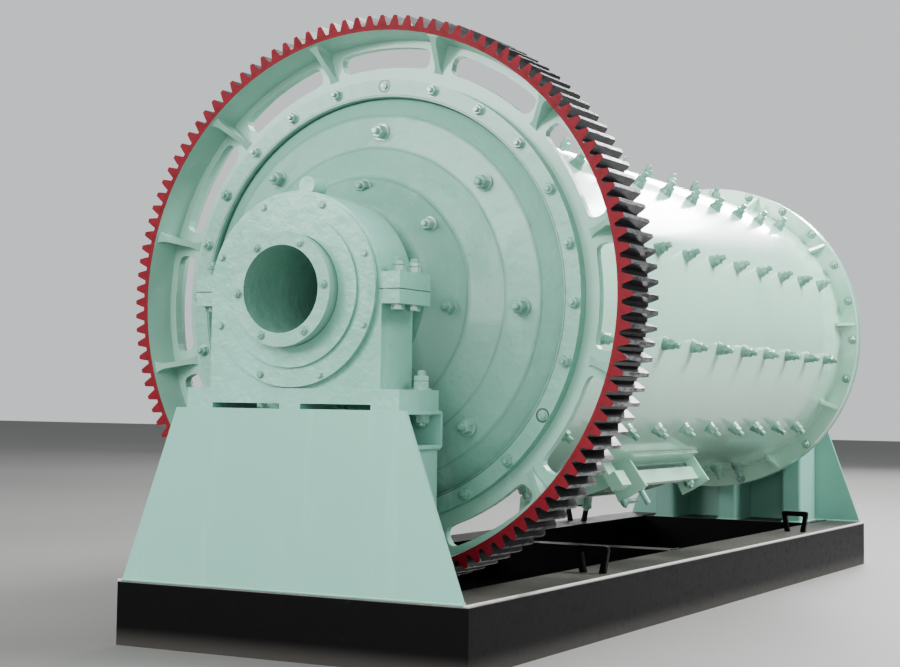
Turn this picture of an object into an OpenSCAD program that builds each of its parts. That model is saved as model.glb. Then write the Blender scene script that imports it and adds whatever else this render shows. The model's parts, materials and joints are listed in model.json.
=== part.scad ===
// Grinding mill: a horizontal drum that turns in two pedestal bearings on one steel base frame.
// X runs along the drum from the gear end to the far end, Z is up, and the origin is on the
// ground under the middle of the drum. Lengths named "from the end" run inwards from an end face
// of the base frame. Angles round the drum start at -Y and rise towards +Z.

/* [Base frame] */
// Length of the base frame
base_len = 3970; // [3300:10:4800]
// Width of the base frame
base_w = 1144; // [1124:4:1300]
// Height of the base beams
base_h = 190; // [150:5:230]
// Width of a side rail
rail_w = 175; // [120:5:190]
// Wall of the box beams
beam_wall = 10; // [6:1:16]
// Width of the beam under each pedestal
end_beam_w = 270; // [255:5:290]
// Width of the middle cross beam
middle_beam_w = 90; // [60:5:160]

/* [Lifting loops] */
// Distance of the front pair of loops from the front end
loop_front = 1000; // [900:10:1300]
// Distance of the rear pair of loops from the rear end
loop_rear = 820; // [600:10:1300]
// Distance of the loops from the outer face of the rail
loop_inset = 95; // [40:5:120]
// Length of a loop at its foot
loop_foot = 70; // [50:5:90]
// Length of a loop at its top
loop_top = 115; // [95:5:150]
// Height of a loop
loop_h = 82; // [60:2:110]
// Size of the square loop bar
loop_bar = 16; // [10:1:20]

/* [Pedestals] */
// Clearance between the base frame and the underside of the shell
drum_clear = 230; // [215:5:360]
// Thickness of the end plate
plate_t = 12; // [8:1:20]
// How far the foot of the end plate stops short of the side of the base frame
plate_foot_inset = 17; // [4:1:60]
// How far the top of the end plate stands out past the channel
plate_top_out = 15; // [0:1:40]
// Distance from the end face to the back of the pedestal
pedestal_d = 242; // [222:2:250]
// Height of the top channel
channel_h = 104; // [80:4:140]
// Length of the top channel
channel_len = 720; // [700:2:800]
// Thickness of the channel
channel_t = 10; // [8:1:16]
// Radius of the channel's rounded corners
channel_round = 12; // [10:1:20]
// Width of a pedestal leg
leg_w = 90; // [60:2:120]
// Distance from the end of the channel to the outer leg
leg_inset = 10; // [0:1:40]
// Wall of a pedestal leg
leg_wall = 10; // [6:1:14]
// Radius of a leg's rounded corners
leg_round = 14; // [12:1:20]

/* [Bearings] */
// Height from the pedestal to the bearing centre
bearing_h = 330; // [310:5:360]
// Distance from the end face to the front of the housing
housing_x = 30; // [26:1:34]
// Width of the housing along the drum
housing_w = 175; // [160:1:190]
// Radius of the housing round the bearing
housing_r = 280; // [265:1:300]
// Radius of the housing bore
housing_bore_r = 200; // [190:1:210]
// Distance from the end of the channel to the end of the foot
foot_inset = 12; // [0:1:30]
// How far the foot stands out in front of the housing
foot_front = 16; // [0:1:18]
// How far the foot stands out behind the housing
foot_back = 35; // [0:1:37]
// Thickness of the foot
foot_t = 57; // [36:1:66]
// Height of the two reliefs under the foot
relief_h = 15; // [6:1:24]
// Width of the pad between the reliefs
pad_w = 68; // [40:2:120]
// Distance from the end of the foot to a relief
pad_end = 88; // [60:2:120]
// How far the bolting ears stand out
ear_out = 56; // [50:1:70]
// Thickness of the cap ear
cap_ear_t = 48; // [30:2:60]
// Thickness of the base ear
base_ear_t = 40; // [30:2:60]
// Radius of the lifting boss on the cap
boss_r = 25; // [18:1:32]
// Length of the lifting boss
boss_len = 70; // [50:5:140]
// Height of the boss centre above the cap
boss_up = 22; // [10:1:24]
// Reach of the web beside the lifting boss
boss_web = 78; // [50:1:110]
// Thickness of the web beside the lifting boss
boss_web_t = 24; // [12:1:40]

/* [Journals and seals] */
// Radius of the journal in the bearing
journal_r = 170; // [165:1:175]
// Radius of the journal end that passes through the seal
journal_end_r = 156; // [152:1:160]
// Radial running clearance of the journal
running_gap = 0.08; // [0.04:0.01:0.1]
// Radial clearance of the bush in its housing
seat_gap = 0.1; // [0.05:0.01:0.2]
// Radius of the outer seal cover
seal_r = 270; // [250:1:275]
// Thickness of the outer seal cover
seal_t = 18; // [12:1:20]
// Radius of the raised inner band of the seal cover
seal_step_r = 216; // [200:1:230]
// Height of the raised inner band
seal_step_t = 10; // [6:1:12]
// Radial clearance between the seal cover and the journal end
seal_gap = 2; // [1:0.5:4]

// Thickness of the head's neck outside the journal
neck_rise = 32; // [24:1:40]

/* [Feed and discharge tubes] */
// Radius of the bore for the material
bore_r = 122; // [100:1:124]
// Wall of the tube
tube_wall = 11.9; // [10:0.1:14]
// Radius of the tube flange
tube_flange_r = 160; // [158:1:180]
// Thickness of the tube flange
tube_flange_t = 25; // [16:1:30]
// How far the journal end stands out past the end face
journal_out = 20; // [12:1:26]
// Length of the tube behind its flange
tube_len = 380; // [360:5:460]

/* [Drum heads] */
// Distance from the front end face to the front head's flange
front_head_x = 485; // [470:1:510]
// Distance from the rear end face to the rear head's flange
rear_head_x = 422; // [420:1:480]
// How far the head, gear and shell flanges stand out past the shell
flange_rim = 70; // [55:1:90]
// Thickness of the head flange
head_flange_t = 38; // [30:1:42]
// Width of the raised flange face
head_face_w = 52; // [40:1:60]
// Depth of the recess inside the flange face
head_step_d = 24; // [12:1:26]
// Depth of the cone from the flange to the neck
cone_depth = 208; // [180:1:215]
// Thickness of the cone, measured along the drum
head_wall = 46; // [36:1:52]
// Length of the spigot that centres the shell on a head
spigot_len = 16; // [8:1:30]

/* [Shell] */
// Outer radius of the shell
shell_r = 600; // [580:1:610]
// Thickness of the shell plate
shell_t = 18; // [12:1:24]
// Thickness of a shell flange
shell_flange_t = 30; // [20:1:36]
// Number of gussets behind a shell flange
gusset_count = 11; // [8:1:16]
// Length of a gusset along the shell
gusset_len = 90; // [60:5:120]
// Thickness of a gusset
gusset_t = 12; // [8:1:16]
// Angle of the first gusset
gusset_angle = 4.5; // [0:0.1:32]

/* [Liners] */
// Thickness of the shell liner
liner_t = 40; // [30:1:60]
// Thickness of the head liners, measured along the drum
head_liner_t = 30; // [20:1:40]
// Joint between a liner and the plate behind it
liner_gap = 0.3; // [0.1:0.1:0.8]

/* [Girth gear] */
// Number of teeth
teeth = 120; // [108:4:132]
// Height of the pitch circle above the shell
gear_rise = 240; // [236:1:248]
// Pressure angle of the teeth
pressure_angle = 20; // [18:0.5:25]
// Distance from the end face to the front of the gear rim
gear_x = 418; // [400:1:440]
// Width of the gear rim
gear_w = 200; // [180:5:220]
// Thickness of the rim under the teeth at its sides
rim_t = 14; // [10:1:20]
// How much thicker the rim is at the web
rim_taper = 13; // [4:1:20]
// Thickness of the gear web
web_t = 30; // [20:1:36]
// Number of ribs and of openings in the web
rib_count = 12; // [8:1:14]
// Distance from the head flange to a web opening
slot_rise = 42; // [34:1:48]
// Width of a web opening
slot_w = 62; // [44:1:66]
// Corner radius of a web opening
slot_corner = 24; // [16:1:30]
// Angle taken up by the solid land between two openings
land_angle = 6; // [5:0.5:10]
// Thickness of a rib at its waist
rib_t = 17; // [10:1:24]
// How far each side of a rib spreads where it meets the rim
rib_flare = 15; // [4:1:18]
// How far a rib stops short of the rim's side face
rib_inset = 12; // [4:1:24]
// Distance from the head flange to the foot of a rib
rib_rise = 34; // [10:1:60]

/* [Hatch] */
// Angle of the hatch round the drum
hatch_angle = -76.2; // [-80:0.1:-70]
// Distance of the hatch from the middle of the base frame
hatch_x = -20; // [-100:1:100]
// Length of the hatch opening along the drum
hatch_len = 598; // [400:2:640]
// Width of the hatch opening round the drum
hatch_w = 340; // [260:2:420]
// Wall of the hatch neck
hatch_wall = 14; // [10:1:18]
// Height of the neck above the shell
hatch_rise = 45; // [30:1:60]
// Thickness of the saddle plate on the shell
saddle_t = 14; // [8:1:20]
// How far the saddle plate stands out past the neck round the drum
saddle_out = 62; // [30:1:90]
// How far the saddle plate stands out past the neck along the drum
saddle_end_out = 17; // [13:1:40]
// Thickness of the cover plate
cover_plate_t = 12; // [8:1:16]
// Height of the rims along the cover's two long sides
cover_t = 52; // [24:1:60]
// Thickness of those rims
cover_rim_w = 16; // [10:1:24]
// How far the cover stands out past the neck round the drum
cover_out = 19; // [4:1:30]
// Thickness of the lugs at the ends of the hatch
end_plate_t = 12; // [8:1:16]
// Width of a lug round the drum
lug_w = 100; // [70:5:140]
// How far the lugs stand out past the cover
end_plate_out = 25; // [4:1:30]
// How far the lugs reach past the neck round the drum
end_plate_side = 42; // [24:1:60]

/* [Latch block] */
// Distance of the latch block from the middle of the base frame
latch_x = -485; // [-520:5:-440]
// Angle of the latch block round the drum
latch_angle = -56.7; // [-70:0.1:-40]
// Length of the latch block along the drum
latch_len = 80; // [50:5:120]
// Width of the latch block round the drum
latch_w = 44; // [30:2:60]
// Height of the top of the latch block above the shell
latch_rise = 106; // [70:1:120]
// Thickness of the latch block
latch_t = 56; // [30:1:60]
// Thickness of the stem that carries the latch block
latch_stem_t = 20; // [10:1:30]

/* [Hidden] */
green = [0.66, 0.77, 0.73];
black = [0.11, 0.105, 0.10];
bronze = [0.66, 0.49, 0.29];
steel = [0.23, 0.23, 0.25];

// Places worked out from the sizes above
half_len = base_len / 2;
axis_h = base_h + drum_clear + shell_r;
pedestal_top = axis_h - bearing_h;
channel_bottom = pedestal_top - channel_h;
plate_foot_w = base_w - 2 * plate_foot_inset;
plate_top_w = channel_len + 2 * plate_top_out;
leg_pitch = channel_len / 2 - leg_inset - leg_w / 2;
foot_len = channel_len - 2 * foot_inset;
foot_hollow_r = housing_r + 50;
tube_r = bore_r + tube_wall;
neck_r = journal_r + neck_rise;
head_bore_r = tube_r + seat_gap;
flange_r = shell_r + flange_rim;
head_step_r = flange_r - head_face_w;
head_back = front_head_x + head_flange_t;
web_back = head_back + web_t;
rear_head_back = rear_head_x + head_flange_t;
collar_x = housing_x + housing_w + 10;
shell_bore_r = shell_r - shell_t;
shell_start = -half_len + head_back;
shell_end = half_len - rear_head_back;
neck_half_len = hatch_len / 2 + hatch_wall;
neck_seat = shell_r + hatch_rise;
hatch_half_angle = asin((hatch_w / 2 + hatch_wall) / shell_r);
spigot_bore_r = shell_bore_r - 30;
neck_step = 13;
cover_gap = 1;
lug_lap = cover_gap / 2;
overrun = 5;
corner_steps = 4;

// Gear tooth form
pitch_r = shell_r + gear_rise;
tooth_module = 2 * pitch_r / teeth;
tip_r = pitch_r + tooth_module;
root_r = pitch_r - 1.25 * tooth_module;
rim_r = root_r - rim_t;
base_r = pitch_r * cos(pressure_angle);
flank_steps = 3;
side_steps = 5;
end_steps = 6;
slot_mid_r = flange_r + slot_rise + slot_w / 2;
slot_round = min(slot_corner, slot_w / 2);
slot_flat = slot_w / 2 - slot_round;
slot_half_angle = (360 / rib_count - land_angle) / 2 - asin(slot_w / 2 / slot_mid_r);
rib_angle = 15;
rib_foot_r = flange_r + rib_rise;
rib_spread = [2, -3, -8, -14, -24];

// A point of a cone: its depth as a share of the whole cone, and its height between the neck and
// the recessed face as another, moved along the drum by a wall
function cone_point(x, depth, rise, wall) =
    [x - cone_depth * depth + wall, neck_r + (head_step_r - neck_r) * rise];

// Inside of a head, from the tube to the spigot that centres the shell
function head_inside(x, wall) = [
    [x - cone_depth + wall - neck_step, neck_r + 8], cone_point(x, 0.95, 0.137, wall),
    cone_point(x, 0.45, 0.344, wall), cone_point(x, 0.21, 0.606, wall), [x - 30 + wall, spigot_bore_r],
];

// Outline of a drum head: the outside from the flange to the journal, then the inside
function head_outline(x) = concat(
    [
        [x, flange_r], [x, head_step_r], [x + head_step_d, head_step_r - 4], cone_point(x, 0.11, 0.851, 0),
        cone_point(x, 0.21, 0.606, 0), cone_point(x, 0.45, 0.377, 0), cone_point(x, 1, 0.185, 0),
        [x - cone_depth - 3, neck_r + 22], [collar_x, neck_r], [collar_x, journal_r],
        [housing_x + 4, journal_r], [housing_x + 4, journal_end_r],
        [-journal_out, journal_end_r], [-journal_out, head_bore_r],
        [x - cone_depth + head_wall - neck_step, head_bore_r],
    ],
    head_inside(x, head_wall),
    [
        [x + head_flange_t + spigot_len, spigot_bore_r],
        [x + head_flange_t + spigot_len, shell_bore_r - seat_gap],
        [x + head_flange_t, shell_bore_r - seat_gap], [x + head_flange_t, flange_r],
    ]
);

// Outline of the liner behind a head
function head_liner_outline(x) = concat(
    [[x - cone_depth + head_wall - neck_step + liner_gap, tube_r + liner_gap]],
    head_inside(x, head_wall + liner_gap),
    [for (i = [4:-1:0]) head_inside(x, head_wall + head_liner_t)[i]],
    [[x - cone_depth + head_wall - neck_step + head_liner_t, tube_r + liner_gap]]
);

// Points of a rounded corner, and of a rounded box between two corners
function corner(center, r, start) = [
    for (i = [0:corner_steps])
        let (angle = start + 90 * i / corner_steps) center + [r * cos(angle), r * sin(angle)]
];
function rounded_box(low, high, r) = concat(
    corner([low[0] + r, low[1] + r], r, 180), corner([high[0] - r, low[1] + r], r, 270),
    corner([high[0] - r, high[1] - r], r, 0), corner([low[0] + r, high[1] - r], r, 90)
);

// Turns an outline of [distance, radius] points about the X axis
module turned(outline) {
    rotate([0, 90, 0])
        rotate_extrude($fn = 96)
            polygon([for (p = outline) [p[1], p[0]]]);
}

module ring_x(x, length, outer, inner) {
    turned([[x, inner], [x, outer], [x + length, outer], [x + length, inner]]);
}

module rod_x(x, length, r) {
    translate([x, 0, 0]) rotate([0, 90, 0]) cylinder(h = length, r = r, $fn = 96);
}

// Part of a ring that lies within an angle on either side of -Y
module sector_x(x, length, outer, inner, half_angle) {
    reach = 2 * outer;
    intersection() {
        ring_x(x, length, outer, inner);
        translate([x - overrun, 0, 0])
            rotate([90, 0, 90])
                linear_extrude(height = length + 2 * overrun)
                    polygon([
                        [0, 0], [-reach * cos(half_angle), -reach * sin(half_angle)],
                        [-reach * cos(half_angle), reach * sin(half_angle)],
                    ]);
    }
}

module box_between(low, high) {
    translate(low) cube(high - low);
}

// Puts what is built inwards from x = 0 at the front or the rear end of the base frame
module at_front() {
    translate([-half_len, 0, 0]) children();
}

module at_rear() {
    translate([half_len, 0, 0]) mirror([1, 0, 0]) children();
}

module at_axis() {
    translate([0, 0, axis_h]) children();
}

// Turns what is built along -Y to an angle round the drum
module round_drum(angle) {
    rotate([-angle, 0, 0]) children();
}

// Base frame

module rail(side) {
    inner = base_w / 2 - rail_w;
    color(black)
        difference() {
            translate([-half_len, side > 0 ? inner : -base_w / 2, 0]) cube([base_len, rail_w, base_h]);
            translate([-half_len + beam_wall, (side > 0 ? inner : -base_w / 2) + beam_wall, beam_wall])
                cube([base_len - 2 * beam_wall, rail_w - 2 * beam_wall, base_h - 2 * beam_wall]);
        }
}

module cross_beam(x, width) {
    span = base_w - 2 * rail_w;
    color(black)
        difference() {
            translate([x, -span / 2, 0]) cube([width, span, base_h]);
            translate([x + beam_wall, -span / 2 - overrun, beam_wall])
                cube([width - 2 * beam_wall, span + 2 * overrun, base_h - 2 * beam_wall]);
        }
}

// One loop of square bar that widens upwards
module lifting_loop() {
    translate([0, loop_bar / 2, 0])
        rotate([90, 0, 0])
            linear_extrude(height = loop_bar)
                difference() {
                    polygon([
                        [-loop_foot / 2, 0], [loop_foot / 2, 0],
                        [loop_top / 2, loop_h], [-loop_top / 2, loop_h],
                    ]);
                    polygon([
                        [-loop_foot / 2 + loop_bar, -1], [loop_foot / 2 - loop_bar, -1],
                        [loop_top / 2 - loop_bar, loop_h - loop_bar],
                        [-loop_top / 2 + loop_bar, loop_h - loop_bar],
                    ]);
                }
}

module lifting_loops() {
    color(black)
        for (x = [-half_len + loop_front, half_len - loop_rear], side = [-1, 1])
            translate([x, side * (base_w / 2 - loop_inset), base_h]) lifting_loop();
}

// Pedestal, built inwards from x = 0

module end_plate() {
    color(green)
        translate([0, 0, base_h])
            rotate([90, 0, 90])
                linear_extrude(height = plate_t)
                    polygon([
                        [-plate_foot_w / 2, 0], [plate_foot_w / 2, 0],
                        [plate_top_w / 2, pedestal_top - base_h], [-plate_top_w / 2, pedestal_top - base_h],
                    ]);
}

module leg(y) {
    low = [plate_t, y - leg_w / 2];
    high = [pedestal_d, y + leg_w / 2];
    wall = [leg_wall, leg_wall];
    color(green)
        translate([0, 0, base_h])
            linear_extrude(height = channel_bottom - base_h)
                difference() {
                    polygon(rounded_box(low, high, leg_round));
                    polygon(rounded_box(low + wall, high - wall, leg_round - leg_wall + 1));
                }
}

module channel() {
    bend = channel_round;
    color(green)
        translate([0, channel_len / 2, 0])
            rotate([90, 0, 0])
                linear_extrude(height = channel_len)
                    polygon(concat(
                        [[plate_t, channel_bottom]],
                        corner([pedestal_d - bend, channel_bottom + bend], bend, 270),
                        corner([pedestal_d - bend, pedestal_top - bend], bend, 0),
                        [
                            [plate_t, pedestal_top], [plate_t, pedestal_top - channel_t],
                            [pedestal_d - channel_t, pedestal_top - channel_t],
                            [pedestal_d - channel_t, channel_bottom + channel_t],
                            [plate_t, channel_bottom + channel_t],
                        ]
                    ));
}

// Bearing, built inwards from x = 0

module bearing_ear(side, low, high) {
    reach = side * (housing_r + ear_out);
    start = side * (housing_r - 30);
    box_between([housing_x, min(reach, start), low], [housing_x + housing_w, max(reach, start), high]);
}

module bearing_base() {
    foot_low = housing_x - foot_front;
    foot_high = housing_x + housing_w + foot_back;
    color(green)
        difference() {
            union() {
                box_between(
                    [housing_x, -housing_r, pedestal_top],
                    [housing_x + housing_w, housing_r, axis_h]);
                box_between(
                    [foot_low, -foot_len / 2, pedestal_top],
                    [foot_high, foot_len / 2, pedestal_top + foot_t]);
                for (side = [-1, 1]) bearing_ear(side, axis_h - base_ear_t, axis_h);
            }
            at_axis() rod_x(housing_x - overrun, housing_w + 2 * overrun, housing_bore_r);
            at_axis() rod_x(housing_x + housing_w + 2, foot_back + overrun, foot_hollow_r);
            for (side = [-1, 1]) {
                near = side * pad_w / 2;
                far = side * (foot_len / 2 - pad_end);
                box_between(
                    [foot_low - overrun, min(near, far), pedestal_top - overrun],
                    [foot_high + overrun, max(near, far), pedestal_top + relief_h]);
            }
        }
}

// Boss on top of the cap that a sling bar goes through, with its web
module lifting_boss() {
    middle = housing_x + housing_w / 2;
    translate([0, 0, axis_h + housing_r + boss_up]) rod_x(middle - boss_len / 2, boss_len, boss_r);
    translate([middle - boss_web_t / 2, 0, axis_h])
        rotate([90, 0, 90])
            linear_extrude(height = boss_web_t)
                polygon([
                    [0, housing_r - 20], [boss_web, housing_r - 20], [boss_web, housing_r - boss_web / 6],
                    [boss_r / 2, housing_r + boss_up + boss_r / 2], [0, housing_r + boss_up],
                ]);
}

module bearing_cap() {
    color(green)
        difference() {
            union() {
                intersection() {
                    at_axis() rod_x(housing_x, housing_w, housing_r);
                    box_between(
                        [housing_x - overrun, -housing_r - overrun, axis_h],
                        [housing_x + housing_w + overrun, housing_r + overrun, axis_h + housing_r + overrun]);
                }
                for (side = [-1, 1]) bearing_ear(side, axis_h, axis_h + cap_ear_t);
                lifting_boss();
            }
            at_axis() rod_x(housing_x - overrun, housing_w + 2 * overrun, housing_bore_r);
        }
}

module bush() {
    color(bronze)
        at_axis()
            ring_x(housing_x, housing_w, housing_bore_r - seat_gap, journal_r + running_gap);
}

module seal_cover() {
    hole = journal_end_r + seal_gap;
    color(green)
        at_axis()
            turned([
                [housing_x, hole], [housing_x, seal_r], [housing_x - seal_t, seal_r],
                [housing_x - seal_t, seal_step_r], [housing_x - seal_t - seal_step_t, seal_step_r],
                [housing_x - seal_t - seal_step_t, hole],
            ]);
}

// Drum ends, built inwards from x = 0

module head(x) {
    color(green) at_axis() turned(head_outline(x));
}

module end_tube() {
    color(green)
        at_axis()
            turned([
                [-journal_out - tube_flange_t, bore_r], [-journal_out - tube_flange_t, tube_flange_r],
                [-journal_out, tube_flange_r], [-journal_out, tube_r], [-journal_out + tube_len, tube_r],
                [-journal_out + tube_len, bore_r],
            ]);
}

module shell_flange(x) {
    color(green)
        at_axis() {
            ring_x(x, shell_flange_t, flange_r, shell_r + seat_gap);
            for (i = [0:gusset_count - 1])
                round_drum(gusset_angle + i * 360 / gusset_count)
                    translate([0, 0, -gusset_t / 2])
                        linear_extrude(height = gusset_t)
                            polygon([
                                [x + shell_flange_t - 1, -shell_r - seat_gap],
                                [x + shell_flange_t + gusset_len, -shell_r - seat_gap],
                                [x + shell_flange_t + gusset_len, -shell_r - 12],
                                [x + shell_flange_t, -flange_r + 6], [x + shell_flange_t - 1, -flange_r + 6],
                            ]);
        }
}

// Drum middle

module hatch_way() {
    round_drum(hatch_angle)
        box_between(
            [hatch_x - hatch_len / 2, -neck_seat - overrun, -hatch_w / 2],
            [hatch_x + hatch_len / 2, -shell_r / 2, hatch_w / 2]);
}

module drum_shell() {
    color(green)
        at_axis()
            difference() {
                ring_x(shell_start, shell_end - shell_start, shell_r, shell_bore_r);
                hatch_way();
            }
}

module shell_liner() {
    start = shell_start + spigot_len + liner_gap;
    end = shell_end - spigot_len - liner_gap;
    outside = shell_bore_r - liner_gap;
    color(steel)
        at_axis()
            difference() {
                ring_x(start, end - start, outside, outside - liner_t);
                hatch_way();
            }
}

module head_liner(x) {
    color(steel) at_axis() turned(head_liner_outline(x));
}

// Angle at the drum axis that a length takes up on the shell
function on_shell(length) = length / shell_r * 180 / PI;

module hatch_neck() {
    seat = shell_r + seat_gap;
    saddle_half_len = neck_half_len + saddle_end_out;
    color(green)
        at_axis()
            difference() {
                round_drum(hatch_angle)
                    translate([hatch_x, 0, 0]) {
                        sector_x(
                            -saddle_half_len, 2 * saddle_half_len, shell_r + saddle_t, seat,
                            hatch_half_angle + on_shell(saddle_out));
                        sector_x(-neck_half_len, 2 * neck_half_len, neck_seat, seat, hatch_half_angle);
                        round_drum(hatch_half_angle + on_shell(end_plate_side - lug_w / 2))
                            for (x = [-neck_half_len - end_plate_t, neck_half_len - lug_lap])
                                sector_x(
                                    x, end_plate_t + lug_lap, neck_seat + cover_t + end_plate_out,
                                    shell_r + saddle_t / 2, on_shell(lug_w / 2));
                    }
                hatch_way();
            }
}

module hatch_cover() {
    half_l = neck_half_len - cover_gap;
    edge = hatch_half_angle + on_shell(cover_out);
    color(green)
        at_axis()
            round_drum(hatch_angle)
                translate([hatch_x, 0, 0])
                    difference() {
                        sector_x(-half_l, 2 * half_l, neck_seat + cover_t, neck_seat + seat_gap, edge);
                        sector_x(
                            -half_l - overrun, 2 * (half_l + overrun), neck_seat + cover_t + overrun,
                            neck_seat + cover_plate_t, edge - on_shell(cover_rim_w));
                    }
}

module latch_block() {
    top = shell_r + latch_rise;
    color(green)
        at_axis()
            difference() {
                round_drum(latch_angle)
                    translate([latch_x, 0, 0]) {
                        box_between(
                            [-latch_len / 2, -top, -latch_w / 2],
                            [latch_len / 2, latch_t - top, latch_w / 2]);
                        box_between(
                            [-latch_len / 2, latch_t - top - 1, -latch_w / 2],
                            [latch_len / 2, 50 - shell_r, latch_stem_t - latch_w / 2]);
                    }
                rod_x(-half_len, base_len, shell_r + seat_gap);
            }
}

// Girth gear

function involute_at(r) = sqrt(pow(r / base_r, 2) - 1) * 180 / PI - acos(base_r / r);
function half_tooth(r) = 90 / teeth + involute_at(pitch_r) - involute_at(max(r, base_r));
function on_circle(r, angle) = [r * cos(angle), r * sin(angle)];

flank_radii = [for (i = [0:flank_steps]) root_r + (tip_r - root_r) * i / flank_steps];
tooth_outline = [
    for (k = [0:teeth - 1])
        let (middle = k * 360 / teeth)
            each concat(
                [for (r = flank_radii) on_circle(r, middle - half_tooth(r))],
                [for (i = [flank_steps:-1:0]) on_circle(flank_radii[i], middle + half_tooth(flank_radii[i]))]
            )
];

// Outline of one curved web opening with rounded corners
function slot_end(angle, turn) = [
    for (i = [1:end_steps - 1])
        let (
            around = turn + 180 * i / end_steps,
            out = slot_round * cos(around) + slot_flat * sign(cos(around)),
            along = slot_round * sin(around) + slot_flat * sign(sin(around))
        )
            on_circle(slot_mid_r + out, angle) + on_circle(along, angle + 90)
];
function slot_side(r, direction) = [
    for (i = [0:side_steps]) on_circle(r, direction * slot_half_angle * (2 * i / side_steps - 1))
];
slot_outline = concat(
    slot_side(slot_mid_r + slot_w / 2, 1), slot_end(slot_half_angle, 0),
    slot_side(slot_mid_r - slot_w / 2, -1), slot_end(-slot_half_angle, 180)
);

// Outline of a rib across the drum, spread into the rim and into the web's land
function rib_half(depth) = rib_t / 2 + rib_flare * pow((24 + depth) / 26, 2);
rib_side = concat(
    [for (depth = rib_spread) [-rim_r - depth, rib_half(depth)]],
    [for (i = [4:-1:0]) [rib_spread[i] - rib_foot_r, 0.7 * rib_half(rib_spread[i]) + 0.15 * rib_t]]
);
rib_outline = concat(rib_side, [for (i = [9:-1:0]) [rib_side[i][0], -rib_side[i][1]]]);

// Triangular ribs from one side of the rim to the web
module gear_ribs(rim_x, web_x) {
    end_x = web_x + 2 * sign(web_x - rim_x);
    reach = rib_t / 2 + rib_flare + overrun;
    for (i = [0:rib_count - 1])
        round_drum(rib_angle + i * 360 / rib_count)
            intersection() {
                translate([0, 0, -reach])
                    linear_extrude(height = 2 * reach)
                        polygon([
                            [rim_x, -rim_r - 2], [rim_x, 4 - rim_r], [web_x, -rib_foot_r],
                            [end_x, -rib_foot_r], [end_x, -rim_r - 2],
                        ]);
                translate([min(rim_x, end_x) - overrun, 0, 0])
                    rotate([90, 0, 90])
                        linear_extrude(height = abs(end_x - rim_x) + 2 * overrun) polygon(rib_outline);
            }
}

module girth_gear() {
    color(steel)
        at_axis() {
            difference() {
                translate([gear_x, 0, 0])
                    rotate([0, 90, 0])
                        linear_extrude(height = gear_w) polygon(tooth_outline);
                turned([
                    [gear_x - overrun, 0], [gear_x - overrun, rim_r], [gear_x, rim_r],
                    [head_back, rim_r - rim_taper], [head_back, 0],
                ]);
                turned([
                    [web_back, 0], [web_back, rim_r - rim_taper], [gear_x + gear_w, rim_r],
                    [gear_x + gear_w + overrun, rim_r], [gear_x + gear_w + overrun, 0],
                ]);
                rod_x(head_back - overrun, web_t + 2 * overrun, shell_r + seat_gap);
                for (i = [0:rib_count - 1])
                    translate([head_back - overrun, 0, 0])
                        rotate([0, 90, 0])
                            rotate(-90 - rib_angle - (i + 0.5) * 360 / rib_count)
                                linear_extrude(height = web_t + 2 * overrun) polygon(slot_outline);
            }
            gear_ribs(gear_x + rib_inset, head_back);
            gear_ribs(gear_x + gear_w - rib_inset, web_back);
        }
}

rail(1);  // left_rail
rail(-1);  // right_rail
cross_beam(-half_len, end_beam_w);  // front_beam
cross_beam(-middle_beam_w / 2, middle_beam_w);  // middle_beam
cross_beam(half_len - end_beam_w, end_beam_w);  // rear_beam
lifting_loops();

at_front() end_plate();  // front_end_plate
at_front() leg(leg_pitch);  // front_left_leg
at_front() leg(0);  // front_middle_leg
at_front() leg(-leg_pitch);  // front_right_leg
at_front() channel();  // front_channel
at_front() bearing_base();  // front_bearing_base
at_front() bearing_cap();  // front_bearing_cap
at_front() bush();  // front_bush
at_front() seal_cover();  // front_seal_cover

at_rear() end_plate();  // rear_end_plate
at_rear() leg(leg_pitch);  // rear_left_leg
at_rear() leg(0);  // rear_middle_leg
at_rear() leg(-leg_pitch);  // rear_right_leg
at_rear() channel();  // rear_channel
at_rear() bearing_base();  // rear_bearing_base
at_rear() bearing_cap();  // rear_bearing_cap
at_rear() bush();  // rear_bush
at_rear() seal_cover();  // rear_seal_cover

drum_shell();
at_front() shell_flange(web_back);  // front_shell_flange
at_rear() shell_flange(rear_head_back);  // rear_shell_flange
at_front() head(front_head_x);  // front_head
at_rear() head(rear_head_x);  // rear_head
at_front() end_tube();  // feed_tube
at_rear() end_tube();  // discharge_tube
at_front() girth_gear();
hatch_neck();
hatch_cover();
latch_block();
shell_liner();
at_front() head_liner(front_head_x);  // front_head_liner
at_rear() head_liner(rear_head_x);  // rear_head_liner
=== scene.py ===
import json
import math

import bmesh
import bpy
from mathutils import Matrix, Vector
from mathutils.bvhtree import BVHTree


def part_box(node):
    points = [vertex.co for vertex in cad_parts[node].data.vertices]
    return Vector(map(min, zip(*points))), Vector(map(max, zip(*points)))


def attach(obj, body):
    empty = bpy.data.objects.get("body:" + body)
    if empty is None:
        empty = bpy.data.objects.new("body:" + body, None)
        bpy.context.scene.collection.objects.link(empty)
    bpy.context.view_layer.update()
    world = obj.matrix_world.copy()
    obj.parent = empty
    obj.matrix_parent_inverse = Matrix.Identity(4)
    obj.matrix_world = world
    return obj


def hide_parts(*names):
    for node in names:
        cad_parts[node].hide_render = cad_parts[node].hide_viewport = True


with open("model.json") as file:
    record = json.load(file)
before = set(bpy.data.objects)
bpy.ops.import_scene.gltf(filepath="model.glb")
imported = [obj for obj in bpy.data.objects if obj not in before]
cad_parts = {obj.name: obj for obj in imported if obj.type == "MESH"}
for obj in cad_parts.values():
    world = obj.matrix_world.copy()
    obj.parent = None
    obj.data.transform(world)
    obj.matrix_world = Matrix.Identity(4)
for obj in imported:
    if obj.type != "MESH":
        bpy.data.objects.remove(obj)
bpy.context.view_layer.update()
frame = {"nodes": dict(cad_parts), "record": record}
nodes = frame["nodes"]
print("frame loaded", len(nodes), "nodes")

# Places read from the frame, in metres

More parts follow.
